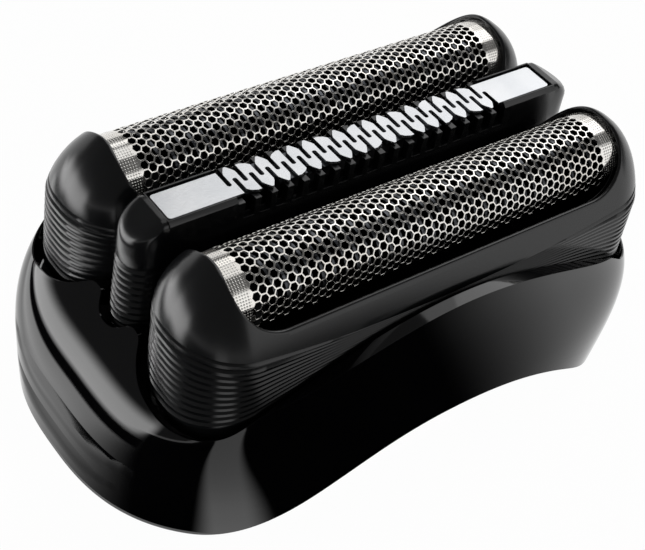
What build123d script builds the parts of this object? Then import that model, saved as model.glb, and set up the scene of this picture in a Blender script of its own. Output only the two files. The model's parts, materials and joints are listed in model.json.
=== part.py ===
"""Foil head of an electric shaver: two sprung foil units and a trimmer in one casing.

Millimetres, +Z up, X along the foils, -Y to the front. The origin is under the middle of
the casing, on the surface that its two ends stand on.
"""

import math
import os

from build123d import *

# Casing
casing_length = 58.0
casing_width = 38.0
casing_wall = 1.3
foot_squareness = 2.6
waist_inset_x = 1.3
waist_inset_y = 0.95
waist_squareness = 3.4
hip_height = 11.5
hip_flare_x = 2.8
hip_flare_y = 1.5
hip_squareness = 3.9
shoulder_flare_y = 0.75
shoulder_squareness = 4.5
crown_rise = 0.8
crown_inset_x = 4.2
crown_squareness = 5.0
casing_gap = 0.45
mouth_gap = 0.5
scallop_gap = 1.1
shoulder_height = 14.3
shoulder_inset = 0.7
corner_edge_height = 12.6
side_edge_height = 18.2
side_edge_fall = 2.3
side_arch_height = 8.0
side_arch_fall = 3.0
side_arch_length = 47.0
side_bend_x = 13.4
louvre_heights = (6.0, 1.8)
louvre_depth = 0.55
louvre_drop = 4.1
louvre_radius = 60.0
latch_height = 2.6
latch_depth = 0.7
latch_rise = 1.2
latch_width = 10.0

# Chassis and the float of the three units
floor_bottom = 7.2
floor_thickness = 1.4
chassis_fit = 0.15
float_travel = 1.6
float_clearance = 0.4
slot_clearance = 0.3
hook_gap = 0.15
hook_rise = 0.75
hook_reach = 0.5
post_rise = 1.2
post_fit = 0.4

# Trimmer
trimmer_width = 4.4
trimmer_length = 47.8
trimmer_wall = 0.7
trimmer_top = 23.75
trimmer_end_round = 2.0
trimmer_leg_x = 15.5
plate_length = 40.2
plate_width = 3.04
plate_thickness = 0.25
plate_drop = 0.15
plate_gap = 0.2
tooth_pitch = 1.57
tooth_slot = 0.42
tooth_slot_overrun = 0.36
tooth_shift = 0.393
tooth_tip = 0.28
tooth_shapes = "PHPHPPHPHPPHPHPPH"
guard_slot_width = 0.95
guard_ledge = 2.15
guard_gap = 0.1
trimmer_blade_length = 27.2
trimmer_blade_thickness = 0.25
trimmer_blade_gap = 0.05
trimmer_blade_pitch = 1.1
trimmer_blade_tooth = 0.55
trimmer_stroke = 1.0
slider_length = 16.0
slider_gap = 0.2
slider_rest_rise = 1.6
slider_boss_length = 4.0
slider_peg_radius = 0.45
slider_peg_x = 7.2
trimmer_drive_bore = 0.8
trimmer_drive_depth = 3.0
leaf_thickness = 0.2
leaf_length = 12.0
leaf_width = 1.2
leaf_space = 1.0

# Foils and their frames
foil_radius = 3.6
foil_thickness = 0.2
foil_length = 39.0
foil_axis_height = 20.5
foil_gap = 0.25
foil_skirt = 4.0
window_columns = 24
window_pitch = 1.5
window_size = 1.15
window_angles = (-60, -30, 0, 30, 60)
unit_gap = 0.4
frame_inner_wall = 1.29
frame_rim_wall = 1.1
frame_flare = 1.6
frame_wall = 1.1
frame_length = 48.4
frame_taper = 0.8
frame_taper_y = 0.3
frame_end_step = 0.5
frame_cavity_top = 17.2
frame_leg_x = 13.0
frame_leg_width = 2.4
frame_leg_thickness = 1.0
rib_line_height = 18.0
rim_height = 20.0
rim_length = 40.9
rim_corner = 4.5
dome_height = 25.6
rib_count = 9
rib_pitch = 0.76
rib_width = 0.32
rib_pitch_middle = 0.18
rib_width_middle = 0.08
rib_depth = 0.25

# Cutters under the foils
cutter_gap = 0.2
cutter_length = 35.8
lamella_count = 31
lamella_thickness = 0.3
lamella_pitch = 1.12
lamella_depth = 1.0
lamella_skew = 12.0
carrier_rise = 3.0
cutter_stroke = 1.0
cutter_lift = 0.8
lift_clearance = 0.3
rail_bottom_gap = 0.3
rail_rise = 1.2
rail_overlap = 0.65
running_gap = 0.2
coupling_length = 16.0
coupling_width = 7.6
coupling_rise = 1.1
boss_length = 5.2
boss_width = 4.8
drive_bore = 1.25
drive_bore_depth = 4.0
peg_x = 6.0
peg_radius = 0.85
peg_fit = 0.15

# Springs
spring_wire = 0.4
unit_spring_x = 16.5
unit_spring_diameter = 3.4
unit_spring_turns = 3.5
trimmer_spring_x = 19.0
trimmer_spring_diameter = 2.4
bridge_rise = 1.2
bridge_height = 1.4
cutter_spring_diameter = 3.6
cutter_spring_turns = 3.5
cutter_spring_space = 0.35
cutter_spring_seat = 0.9

# Heights and distances that follow from the sizes above
floor_top = floor_bottom + floor_thickness
skirt_bottom = floor_top + float_travel + float_clearance
hook_top = floor_bottom - hook_gap
hook_bottom = hook_top - hook_rise
bridge_bottom = skirt_bottom + bridge_height
bridge_top = bridge_bottom + bridge_rise

frame_inner_y = trimmer_width / 2 + unit_gap
foil_axis_y = frame_inner_y + frame_inner_wall + foil_gap + foil_radius
dome_outer_y = foil_axis_y + foil_radius + foil_gap + frame_rim_wall
skirt_outer_y = dome_outer_y + frame_flare
rib_line_outer_y = skirt_outer_y - frame_taper_y
cavity_inner_y = frame_inner_y + frame_wall
cavity_outer_y = rib_line_outer_y - frame_wall
frame_half_length = frame_length / 2

rail_bottom = skirt_bottom + rail_bottom_gap
rail_top = rail_bottom + rail_rise
rail_half_gap = coupling_width / 2 - rail_overlap
coupling_bottom = rail_top + running_gap
coupling_top = coupling_bottom + coupling_rise
carrier_bottom = coupling_top + cutter_lift + lift_clearance
carrier_top = carrier_bottom + carrier_rise
lamella_radius = foil_radius - foil_thickness - cutter_gap

plate_top = trimmer_top - plate_drop
plate_bottom = plate_top - plate_thickness
blade_top = plate_bottom - trimmer_blade_gap
blade_bottom = blade_top - trimmer_blade_thickness
slider_top = blade_bottom - leaf_space
slider_rest = skirt_bottom + slider_rest_rise
slider_bottom = slider_rest + running_gap
slot_half_length = trimmer_blade_length / 2 + trimmer_stroke + slot_clearance
trimmer_cavity = trimmer_width / 2 - trimmer_wall
tooth_count = len(tooth_shapes)
slot_count = tooth_count + 1
comb_half_length = slot_count * tooth_pitch / 2

# Casing sections: height, half length, half width, squareness of the outline
mouth_half_width = rib_line_outer_y + casing_gap + casing_wall
foot_half_length = casing_length / 2
foot_half_width = casing_width / 2
shoulder_half_length = trimmer_length / 2 - shoulder_inset
waist_half_length = foot_half_length - waist_inset_x
waist_half_width = foot_half_width - waist_inset_y
casing_sections = (
    (0.0, foot_half_length, foot_half_width, foot_squareness),
    (floor_top, waist_half_length, waist_half_width, waist_squareness),
    (hip_height, shoulder_half_length + hip_flare_x, mouth_half_width + hip_flare_y, hip_squareness),
    (shoulder_height, shoulder_half_length, mouth_half_width + shoulder_flare_y, shoulder_squareness),
    (side_edge_height + crown_rise, shoulder_half_length - crown_inset_x, mouth_half_width, crown_squareness),
)


def superellipse(half_length, half_width, squareness, count=40):
    """Points round an outline between an ellipse and a rectangle."""
    points = []
    for step in range(count):
        angle = 2 * math.pi * step / count
        along = math.cos(angle)
        across = math.sin(angle)
        reach = (abs(along) ** squareness + abs(across) ** squareness) ** (-1 / squareness)
        points.append((half_length * reach * along, half_width * reach * across))
    return points


def casing_outline(height, half_length, half_width, squareness):
    """Closed smooth outline on the plane at one height."""
    with BuildSketch(Plane.XY.offset(height)) as outline:
        with BuildLine():
            Spline(*superellipse(half_length, half_width, squareness), periodic=True)
        make_face()
    return outline.sketch.face()


def rounded_plan(height, half_length, inner_y, outer_y, radius, side):
    """Rounded rectangle at one height, between two distances from the centre plane."""
    with BuildSketch(Plane.XY.offset(height)) as plan:
        with Locations((0, side * (inner_y + outer_y) / 2)):
            RectangleRounded(2 * half_length, outer_y - inner_y, radius)
    return plan.sketch.face()


def block(x_from, x_to, y_from, y_to, z_from, z_to):
    """Square-edged block between two corners."""
    centre = Location(((x_from + x_to) / 2, (y_from + y_to) / 2, (z_from + z_to) / 2))
    return centre * Box(abs(x_to - x_from), abs(y_to - y_from), abs(z_to - z_from), mode=Mode.PRIVATE)


def save(part, label):
    """Name one piece and write it."""
    part.label = label
    export_step(part, f"parts/{label}.step")


os.makedirs("parts", exist_ok=True)

# Outer casing: shell with arched long sides and stepped ends
skirt_round = (skirt_outer_y - frame_inner_y) / 2 - 0.25
with BuildPart() as outer_casing:
    loft([casing_outline(*section) for section in casing_sections])
    inner_faces = []
    for height, half_length, half_width, squareness in casing_sections:
        reach = -1.0 if height == 0 else height + (1.0 if height > side_edge_height else 0.0)
        inner_faces.append(
            casing_outline(reach, half_length - casing_wall, half_width - casing_wall, squareness)
        )
    loft(inner_faces, mode=Mode.SUBTRACT)
    edge_y = skirt_outer_y - 1.0
    for side in (-1, 1):
        with BuildSketch(Plane.XZ.offset(side * edge_y)):
            with BuildLine():
                crest = Spline(
                    (-foot_half_length, corner_edge_height - 1.0),
                    (-side_bend_x, side_edge_height - side_edge_fall),
                    (0, side_edge_height),
                    (side_bend_x, side_edge_height - side_edge_fall),
                    (foot_half_length, corner_edge_height - 1.0),
                    tangents=[(1, 0), (1, 0)],
                )
                Polyline(crest @ 1, (foot_half_length, 40), (-foot_half_length, 40), crest @ 0)
            make_face()
        extrude(amount=side * casing_width, mode=Mode.SUBTRACT)
    for side in (-1, 1):
        with BuildSketch(Plane.YZ.offset(side * (shoulder_half_length - 5.0))):
            with BuildLine():
                brow = ThreePointArc(
                    (-edge_y, corner_edge_height), (0, shoulder_height), (edge_y, corner_edge_height)
                )
                Polyline(brow @ 1, (edge_y, 40), (-edge_y, 40), brow @ 0)
            make_face()
        extrude(amount=side * casing_length, mode=Mode.SUBTRACT)
    for side in (-1, 1):
        extrude(
            rounded_plan(
                floor_top + 0.1,
                frame_half_length + scallop_gap,
                frame_inner_y - mouth_gap,
                skirt_outer_y + casing_gap,
                skirt_round + casing_gap,
                side,
            ),
            amount=20,
            mode=Mode.SUBTRACT,
        )
    with BuildSketch(Plane.XY.offset(floor_top + 0.1)):
        RectangleRounded(
            trimmer_length + 2 * mouth_gap, trimmer_width + 2 * unit_gap, trimmer_end_round + unit_gap
        )
    extrude(amount=20, mode=Mode.SUBTRACT)
    with BuildSketch(Plane.XZ):
        with BuildLine():
            arch = Spline(
                (-side_arch_length / 2, 0),
                (-side_bend_x, side_arch_height - side_arch_fall),
                (0, side_arch_height),
                (side_bend_x, side_arch_height - side_arch_fall),
                (side_arch_length / 2, 0),
                tangents=[(1, 0), (1, 0)],
            )
            Polyline(arch @ 1, (side_arch_length / 2, -5), (-side_arch_length / 2, -5), arch @ 0)
        make_face()
    extrude(amount=casing_width, both=True, mode=Mode.SUBTRACT)
    turn_x = louvre_radius - foot_half_length
    for side in (-1, 1):
        for edge in louvre_heights:
            low = max(edge - louvre_drop, -1.0)
            top_x = louvre_radius - waist_inset_x * (edge / floor_top) ** 2
            low_x = louvre_radius - waist_inset_x * (low / floor_top) ** 2
            corners = (
                (top_x - louvre_depth, edge),
                (top_x + 3, edge),
                (low_x + 3, low),
                (low_x - louvre_depth * (low - edge + louvre_drop) / louvre_drop, low),
            )
            with BuildSketch(Plane.XZ):
                Polygon(*[(side * (radius - turn_x), height) for radius, height in corners], align=None)
            revolve(axis=Axis((-side * turn_x, 0, 0), (0, 0, 1)), mode=Mode.SUBTRACT)
    with BuildSketch(Plane.XY.offset(latch_height)):
        with BuildLine():
            Spline(
                *superellipse(foot_half_length - casing_wall + 0.2, foot_half_width - casing_wall, 2.7),
                periodic=True,
            )
        make_face()
        with BuildLine():
            Spline(
                *superellipse(foot_half_length - casing_wall - latch_depth, foot_half_width, 2.7),
                periodic=True,
            )
        make_face(mode=Mode.SUBTRACT)
        Rectangle(casing_length, latch_width, mode=Mode.INTERSECT)
    extrude(amount=latch_rise)
save(outer_casing.part, "outer_casing")

# Chassis: floor with drive openings, spring posts and hook slots
boss_reach_x = boss_length / 2 + cutter_stroke + 2 * slot_clearance
boss_reach_y = boss_width / 2 + slot_clearance
slider_reach_x = slider_boss_length / 2 + trimmer_stroke + 2 * slot_clearance
unit_post = unit_spring_diameter / 2 - spring_wire - post_fit
trimmer_post = trimmer_spring_diameter / 2 - spring_wire - post_fit / 2
with BuildPart() as chassis:
    extrude(
        casing_outline(
            floor_bottom,
            waist_half_length - casing_wall - chassis_fit,
            waist_half_width - casing_wall - chassis_fit,
            waist_squareness,
        ),
        amount=floor_thickness,
    )
    with BuildSketch(Plane.XY.offset(floor_bottom)):
        Rectangle(2 * slider_reach_x, 2 * trimmer_cavity + 2 * slot_clearance)
        for side in (-1, 1):
            with Locations((0, side * foil_axis_y)):
                RectangleRounded(2 * boss_reach_x, 2 * boss_reach_y, 0.6)
            outer_slot = (
                cavity_outer_y - frame_leg_thickness - slot_clearance,
                cavity_outer_y + hook_reach + slot_clearance,
            )
            inner_slot = (
                cavity_inner_y - hook_reach - slot_clearance,
                cavity_inner_y + frame_leg_thickness + slot_clearance,
            )
            for near, far in (outer_slot, inner_slot):
                with Locations(
                    (-frame_leg_x, side * (near + far) / 2), (frame_leg_x, side * (near + far) / 2)
                ):
                    Rectangle(frame_leg_width + 2 * slot_clearance, far - near)
            with Locations((side * (trimmer_leg_x + hook_reach / 2), 0)):
                Rectangle(
                    frame_leg_thickness + hook_reach + 2 * slot_clearance,
                    2 * (trimmer_cavity - slider_gap) + 2 * slot_clearance,
                )
    extrude(amount=floor_thickness, mode=Mode.SUBTRACT)
    with BuildSketch(Plane.XY.offset(floor_top)):
        for side in (-1, 1):
            with Locations((-unit_spring_x, side * foil_axis_y), (unit_spring_x, side * foil_axis_y)):
                Circle(unit_post)
            with Locations((side * trimmer_spring_x, 0)):
                Circle(trimmer_post)
    extrude(amount=post_rise)
save(chassis.part, "chassis")

# Foil frames: ribbed skirt, sloped flank and domed ends round a saddle for the foil
rib_line_half_length = frame_half_length - frame_taper
dome_half_length = rib_line_half_length - frame_end_step
dome_inner_y = frame_inner_y + 0.15
dome_round = (dome_outer_y - dome_inner_y) / 2 - 0.05
foil_cavity = foil_radius + foil_gap
foil_cavity_half_length = foil_length / 2 + 2 * foil_gap
for name, side in (("front", -1), ("rear", 1)):
    with BuildPart() as frame:
        skirt_plan = rounded_plan(
            skirt_bottom, frame_half_length, frame_inner_y, skirt_outer_y, skirt_round, side
        )
        rib_plan = rounded_plan(
            rib_line_height, rib_line_half_length, frame_inner_y, rib_line_outer_y, skirt_round - 0.15, side
        )
        dome_plan = rounded_plan(rim_height, dome_half_length, dome_inner_y, dome_outer_y, dome_round, side)
        loft([skirt_plan, rib_plan], ruled=True)
        loft([rib_plan, dome_plan], ruled=True)
        extrude(dome_plan, amount=dome_height - rim_height)
        fillet(frame.faces().sort_by(Axis.Z)[-1].edges(), dome_round - 0.1)
        with BuildSketch(Plane.XZ.offset(-side * foil_axis_y)) as saddle:
            with Locations((0, rim_height)):
                Rectangle(rim_length, 4 * rim_corner, align=(Align.CENTER, Align.MIN))
            fillet(saddle.vertices().group_by(Axis.Y)[0], rim_corner)
        extrude(amount=2 * foil_radius + 6, both=True, mode=Mode.SUBTRACT)
        add(
            block(
                -foil_cavity_half_length,
                foil_cavity_half_length,
                side * (foil_axis_y - foil_cavity),
                side * (foil_axis_y + foil_cavity),
                frame_cavity_top - 1,
                dome_height,
            ),
            mode=Mode.SUBTRACT,
        )
        extrude(
            rounded_plan(
                skirt_bottom,
                rib_line_half_length - frame_wall,
                cavity_inner_y,
                cavity_outer_y,
                skirt_round - frame_wall,
                side,
            ),
            amount=frame_cavity_top - skirt_bottom,
            mode=Mode.SUBTRACT,
        )
        for end in (-1, 1):
            add(
                block(
                    end * (foil_cavity_half_length + frame_wall),
                    end * (dome_half_length - frame_wall),
                    side * (foil_axis_y - foil_cavity + frame_wall),
                    side * (foil_axis_y + foil_cavity - frame_wall),
                    frame_cavity_top - 1,
                    rim_height + 1,
                ),
                mode=Mode.SUBTRACT,
            )
        rail_half_length = frame_leg_x + frame_leg_width / 2 + slot_clearance
        for near, far in (
            (cavity_inner_y - 0.2, foil_axis_y - rail_half_gap),
            (foil_axis_y + rail_half_gap, cavity_outer_y + 0.2),
        ):
            add(block(-rail_half_length, rail_half_length, side * near, side * far, rail_bottom, rail_top))
        for end in (-1, 1):
            add(
                block(
                    end * unit_spring_x - unit_spring_diameter / 2,
                    end * unit_spring_x + unit_spring_diameter / 2,
                    side * (cavity_inner_y - 0.2),
                    side * (cavity_outer_y + 0.2),
                    bridge_bottom,
                    bridge_top,
                )
            )
            left = end * frame_leg_x - frame_leg_width / 2
            right = end * frame_leg_x + frame_leg_width / 2
            for wall, inward in ((cavity_inner_y, 1), (cavity_outer_y, -1)):
                leg_far = side * (wall + inward * frame_leg_thickness)
                hook_far = side * (wall - inward * hook_reach)
                add(block(left, right, side * wall, leg_far, hook_bottom, rail_top))
                add(block(left, right, side * wall, hook_far, hook_bottom, hook_top))
    with BuildPart() as rib_tool:
        for rib in range(rib_count):
            end_height = rib_line_height - 0.6 - rib * rib_pitch
            middle_height = rib_line_height - 0.45 - rib * rib_pitch_middle
            with BuildSketch(Plane.XZ.offset(-side * foil_axis_y)):
                with BuildLine():
                    upper = ThreePointArc(
                        (-frame_half_length - 1, end_height + rib_width / 2),
                        (0, middle_height + rib_width_middle / 2),
                        (frame_half_length + 1, end_height + rib_width / 2),
                    )
                    lower = ThreePointArc(
                        (-frame_half_length - 1, end_height - rib_width / 2),
                        (0, middle_height - rib_width_middle / 2),
                        (frame_half_length + 1, end_height - rib_width / 2),
                    )
                    Line(upper @ 0, lower @ 0)
                    Line(upper @ 1, lower @ 1)
                make_face()
            extrude(amount=10, both=True)
        core_low = rounded_plan(
            skirt_bottom,
            frame_half_length - rib_depth,
            frame_inner_y - 2,
            skirt_outer_y - rib_depth,
            skirt_round - rib_depth,
            side,
        )
        core_high = rounded_plan(
            rib_line_height,
            rib_line_half_length - rib_depth,
            frame_inner_y - 2,
            rib_line_outer_y - rib_depth,
            skirt_round - rib_depth,
            side,
        )
        loft([core_low, core_high], ruled=True, mode=Mode.SUBTRACT)
    with BuildPart() as ribbed_frame:
        add(frame.part)
        add(rib_tool.part, mode=Mode.SUBTRACT)
    save(ribbed_frame.part, f"{name}_foil_frame")

# Foils: thin arched sheets with rows of windows
for name, side in (("front", -1), ("rear", 1)):
    axis_y = side * foil_axis_y
    inner_radius = foil_radius - foil_thickness
    with BuildPart() as foil:
        with BuildSketch(Plane.YZ):
            with Locations((axis_y, foil_axis_height)):
                Circle(foil_radius)
            with Locations((axis_y, foil_axis_height)):
                Rectangle(2 * foil_radius, foil_skirt, align=(Align.CENTER, Align.MAX))
            with Locations((axis_y, foil_axis_height)):
                Circle(inner_radius, mode=Mode.SUBTRACT)
            with Locations((axis_y, foil_axis_height)):
                Rectangle(
                    2 * inner_radius, foil_skirt + 1, align=(Align.CENTER, Align.MAX), mode=Mode.SUBTRACT
                )
        extrude(amount=foil_length / 2, both=True)
        for angle in window_angles:
            lean = math.radians(angle)
            facing = Plane(
                origin=(0, axis_y, foil_axis_height),
                x_dir=(1, 0, 0),
                z_dir=(0, math.sin(lean), math.cos(lean)),
            )
            with BuildSketch(facing.offset(inner_radius - 0.4)):
                with GridLocations(window_pitch, 1, window_columns, 1):
                    RegularPolygon(window_size / 2, 6, major_radius=False, rotation=30)
            extrude(amount=foil_thickness + 0.8, mode=Mode.SUBTRACT)
    save(foil.part, f"{name}_foil")

# Cutters: skewed arched lamellae standing on a bar
lamella_inner = lamella_radius - lamella_depth
lamella_foot = foil_axis_height - carrier_top
with BuildPart() as lamella:
    with BuildSketch(Plane.YZ):
        Circle(lamella_radius)
        Rectangle(2 * lamella_radius, lamella_foot, align=(Align.CENTER, Align.MAX))
        Circle(lamella_inner, mode=Mode.SUBTRACT)
        Rectangle(
            2 * lamella_inner, lamella_foot + 1, align=(Align.CENTER, Align.MAX), mode=Mode.SUBTRACT
        )
    extrude(amount=lamella_thickness / 2, both=True)
for name, side in (("front", -1), ("rear", 1)):
    axis_y = side * foil_axis_y
    with BuildPart() as cutter_blades:
        for step in range(lamella_count):
            place_x = (step - (lamella_count - 1) / 2) * lamella_pitch
            with Locations(Location((place_x, axis_y, foil_axis_height), (0, 0, lamella_skew))):
                add(lamella.part)
    save(cutter_blades.part, f"{name}_cutter_blades")

    pocket_radius = cutter_spring_diameter / 2 + cutter_spring_space
    pocket_top = carrier_top - cutter_spring_seat
    with BuildPart() as cutter_carrier:
        with BuildSketch(Plane.XY.offset(carrier_bottom)):
            with Locations((0, axis_y)):
                RectangleRounded(cutter_length, 2 * lamella_radius, 0.6)
        extrude(amount=carrier_rise)
        with BuildSketch(Plane.XY.offset(carrier_bottom)):
            with Locations((0, axis_y)):
                Circle(pocket_radius)
        extrude(amount=pocket_top - carrier_bottom, mode=Mode.SUBTRACT)
        with BuildSketch(Plane.XY.offset(coupling_bottom - lift_clearance)):
            with Locations((-peg_x, axis_y), (peg_x, axis_y)):
                Circle(peg_radius)
        extrude(amount=carrier_bottom - coupling_bottom + lift_clearance)
    save(cutter_carrier.part, f"{name}_cutter_carrier")

    with BuildPart() as drive_coupling:
        with BuildSketch(Plane.XY.offset(coupling_bottom)):
            with Locations((0, axis_y)):
                RectangleRounded(coupling_length, coupling_width, 0.6)
            with Locations((-peg_x, axis_y), (peg_x, axis_y)):
                Circle(peg_radius + peg_fit, mode=Mode.SUBTRACT)
        extrude(amount=coupling_rise)
        with BuildSketch(Plane.XY.offset(floor_bottom)):
            with Locations((0, axis_y)):
                RectangleRounded(boss_length, boss_width, 0.5)
        extrude(amount=coupling_bottom - floor_bottom)
        with BuildSketch(Plane.XY.offset(floor_bottom)):
            with Locations((0, axis_y)):
                Circle(drive_bore)
        extrude(amount=drive_bore_depth, mode=Mode.SUBTRACT)
    save(drive_coupling.part, f"{name}_drive_coupling")

# Coil springs: low end, high end, place, outer diameter and turns
coils = []
for name, side in (("front", -1), ("rear", 1)):
    coils.append(
        (
            f"{name}_cutter_spring",
            (0, side * foil_axis_y),
            coupling_top,
            carrier_top - cutter_spring_seat,
            cutter_spring_diameter,
            cutter_spring_turns,
        )
    )
    for hand, end in (("left", -1), ("right", 1)):
        coils.append(
            (
                f"{name}_{hand}_spring",
                (end * unit_spring_x, side * foil_axis_y),
                floor_top,
                bridge_bottom,
                unit_spring_diameter,
                unit_spring_turns,
            )
        )
for hand, end in (("left", -1), ("right", 1)):
    coils.append(
        (
            f"trimmer_{hand}_spring",
            (end * trimmer_spring_x, 0),
            floor_top,
            bridge_bottom,
            trimmer_spring_diameter,
            unit_spring_turns,
        )
    )
for label, (coil_x, coil_y), low, high, diameter, turns in coils:
    rise = high - low - spring_wire
    with BuildPart() as coil_spring:
        with BuildLine() as coil_path:
            Helix(
                pitch=rise / turns,
                height=rise,
                radius=(diameter - spring_wire) / 2,
                center=(coil_x, coil_y, low + spring_wire / 2),
            )
        with BuildSketch(Plane(origin=coil_path.line @ 0, z_dir=coil_path.line % 0)):
            Circle(spring_wire / 2)
        sweep()
    save(coil_spring.part, label)

# Trimmer housing: hollow bar with guard fingers along both sides and ribbed ends
half = trimmer_length / 2
with BuildPart() as trimmer_housing:
    with BuildSketch(Plane.XY.offset(skirt_bottom)):
        RectangleRounded(trimmer_length, trimmer_width, trimmer_end_round)
    extrude(amount=trimmer_top - skirt_bottom)
    with BuildSketch(Plane.XZ) as end_view:
        with BuildLine():
            Polyline(
                (-half + 0.9, skirt_bottom),
                (-half, trimmer_top - 4.2),
                (-half + 0.3, trimmer_top - 1.6),
                (-half + 2.7, trimmer_top),
                (half - 2.7, trimmer_top),
                (half - 0.3, trimmer_top - 1.6),
                (half, trimmer_top - 4.2),
                (half - 0.9, skirt_bottom),
                close=True,
            )
        make_face()
        fillet(end_view.vertices().group_by(Axis.Y)[-2], 1.2)
    extrude(amount=trimmer_width, both=True, mode=Mode.INTERSECT)
    chamfer(
        trimmer_housing.faces().sort_by(Axis.Z)[-1].edges().filter_by(Axis.X), 0.35
    )
    for rib in range(rib_count - 1):
        rib_height = rib_line_height - 1.0 - rib * rib_pitch
        with BuildSketch(Plane.XY.offset(rib_height - rib_width / 2)):
            RectangleRounded(trimmer_length + 2, trimmer_width + 2, trimmer_end_round)
            lean_in = 0.9 * (trimmer_top - 4.2 - rib_height) / (trimmer_top - 4.2 - skirt_bottom)
            RectangleRounded(
                trimmer_length - 2 * lean_in - 2 * rib_depth,
                trimmer_width - 0.02,
                trimmer_end_round - 0.01,
                mode=Mode.SUBTRACT,
            )
            Rectangle(trimmer_length - 4.2, trimmer_width + 4, mode=Mode.SUBTRACT)
        extrude(amount=rib_width, mode=Mode.SUBTRACT)
    add(
        block(
            -half + 2.0, half - 2.0, -trimmer_cavity, trimmer_cavity, skirt_bottom - 1, plate_bottom - 0.8
        ),
        mode=Mode.SUBTRACT,
    )
    add(
        block(
            -slot_half_length, slot_half_length, -trimmer_cavity, trimmer_cavity, rim_height, trimmer_top + 1
        ),
        mode=Mode.SUBTRACT,
    )
    comb_reach = comb_half_length + tooth_shift - tooth_slot
    add(
        block(
            -comb_reach,
            comb_reach,
            -trimmer_width,
            trimmer_width,
            plate_bottom - guard_gap,
            trimmer_top + 1,
        ),
        mode=Mode.SUBTRACT,
    )
    pocket_half_length = plate_length / 2 + plate_gap
    pocket_half_width = plate_width / 2 + plate_gap
    add(
        block(
            -pocket_half_length,
            pocket_half_length,
            -pocket_half_width,
            pocket_half_width,
            plate_bottom,
            trimmer_top + 1,
        ),
        mode=Mode.SUBTRACT,
    )
    for side in (-1, 1):
        with BuildSketch(Plane.XY.offset(trimmer_top - guard_ledge)):
            with Locations((-side * tooth_shift, side * (trimmer_width - trimmer_wall) / 2)):
                with GridLocations(tooth_pitch, 1, slot_count, 1):
                    Rectangle(guard_slot_width, trimmer_wall + 0.4)
        extrude(amount=guard_ledge + 1, mode=Mode.SUBTRACT)
    for end in (-1, 1):
        leg_near = end * (trimmer_leg_x - frame_leg_thickness / 2)
        leg_far = end * (trimmer_leg_x + frame_leg_thickness / 2)
        leg_y = trimmer_cavity - slider_gap
        bridge_far = end * (trimmer_spring_x + trimmer_spring_diameter / 2)
        add(
            block(
                leg_near, bridge_far, -trimmer_cavity - 0.2, trimmer_cavity + 0.2, bridge_bottom, bridge_top
            )
        )
        add(block(leg_near, leg_far, -leg_y, leg_y, hook_bottom, bridge_top))
        add(block(leg_far, leg_far + end * hook_reach, -leg_y, leg_y, hook_bottom, hook_top))
        add(
            block(
                end * (slider_boss_length / 2 + trimmer_stroke + slot_clearance),
                end * (slider_length / 2 + trimmer_stroke + slot_clearance),
                -trimmer_cavity - 0.2,
                trimmer_cavity + 0.2,
                skirt_bottom + rail_bottom_gap,
                slider_rest,
            )
        )
save(trimmer_housing.part, "trimmer_housing")

# Trimmer comb: stamped plate with slots from both sides and pointed or half-round teeth
tip_base = plate_width / 2 - 0.42
tip_half = (tooth_pitch - tooth_slot) / 2
with BuildPart() as trimmer_comb_plate:
    with BuildSketch(Plane.XY.offset(plate_bottom)):
        RectangleRounded(plate_length, plate_width, 0.3)
        for side in (-1, 1):
            first = -(tooth_count - 1) / 2 * tooth_pitch - tooth_shift
            with Locations((-side * tooth_shift, side * (tip_base + 1))):
                Rectangle(tooth_count * tooth_pitch, 2, mode=Mode.SUBTRACT)
            with Locations((-side * tooth_shift, side * (2 - tooth_slot_overrun))):
                with GridLocations(tooth_pitch, 1, slot_count, 1):
                    RectangleRounded(tooth_slot, 4, tooth_slot * 0.45, mode=Mode.SUBTRACT)
            straight = -1
            for step, shape in enumerate(tooth_shapes):
                middle = first + step * tooth_pitch
                tip_y = plate_width / 2 + tooth_tip
                corners = [(middle - tip_half, tip_base - 0.1), (middle + tip_half, tip_base - 0.1)]
                if shape == "P":
                    corners += [(middle + 0.8 * tip_half, tip_base + 0.2), (middle + 0.1, tip_y)]
                    corners += [(middle - 0.1, tip_y), (middle - 0.8 * tip_half, tip_base + 0.2)]
                else:
                    lean = straight * tip_half
                    corners = [
                        (middle + lean, tip_base - 0.1),
                        (middle - lean, tip_base - 0.1),
                        (middle - lean, tip_base + 0.1),
                        (middle - 0.5 * lean, plate_width / 2 - 0.05),
                        (middle + 0.4 * lean, tip_y - 0.12),
                        (middle + lean, tip_y - 0.12),
                    ]
                    straight = -straight
                Polygon(*[(side * x, side * y) for x, y in corners], align=None)
    extrude(amount=plate_thickness)
save(trimmer_comb_plate.part, "trimmer_comb_plate")

# Trimmer blade: toothed strip under the comb
blade_half_width = trimmer_cavity - trimmer_blade_gap
blade_tooth_count = int(trimmer_blade_length / trimmer_blade_pitch)
with BuildPart() as trimmer_blade:
    with BuildSketch(Plane.XY.offset(blade_bottom)):
        Rectangle(trimmer_blade_length, 2 * blade_half_width - 1.4)
        with GridLocations(trimmer_blade_pitch, 1, blade_tooth_count, 1):
            Rectangle(trimmer_blade_tooth, 2 * blade_half_width)
        with Locations((-slider_peg_x, 0), (slider_peg_x, 0)):
            Circle(slider_peg_radius + 0.1, mode=Mode.SUBTRACT)
    extrude(amount=trimmer_blade_thickness)
save(trimmer_blade.part, "trimmer_blade")

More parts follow.
